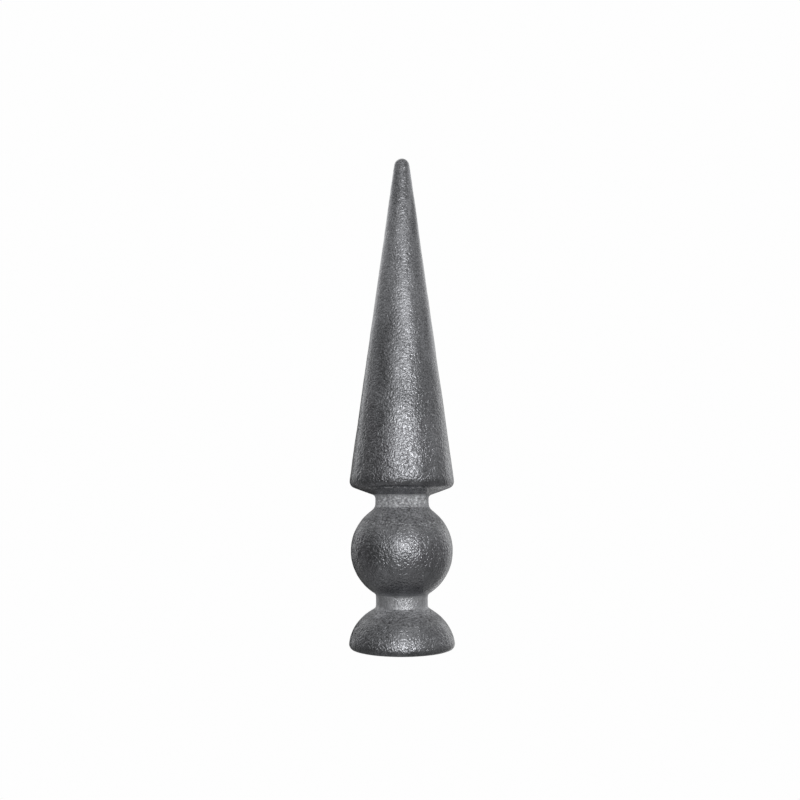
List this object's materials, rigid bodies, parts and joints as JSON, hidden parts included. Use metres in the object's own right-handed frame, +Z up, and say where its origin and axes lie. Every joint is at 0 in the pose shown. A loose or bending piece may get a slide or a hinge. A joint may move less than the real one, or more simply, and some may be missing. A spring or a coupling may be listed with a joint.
{
  "type": "fence finial",
  "caption": "Cast iron fence finial: a tall blunt-nosed cone above a ball on a half-dome foot, solid and turned round one axis, fixed by its flat underside.",
  "frame": {"origin": "centre of the foot's flat underside", "axes": "+Z up along the finial's axis, from the foot to the tip; the finial is round, so +X and +Y are any two sides"},
  "size_m": [0.0404, 0.0404, 0.1949],
  "materials": {
    "iron": "bare dark iron, finely peened all over, burnished on the cone, ball and foot and duller on the two necks"
  },
  "bodies": {
    "root": {"finial": "iron"}
  },
  "joints": []
}
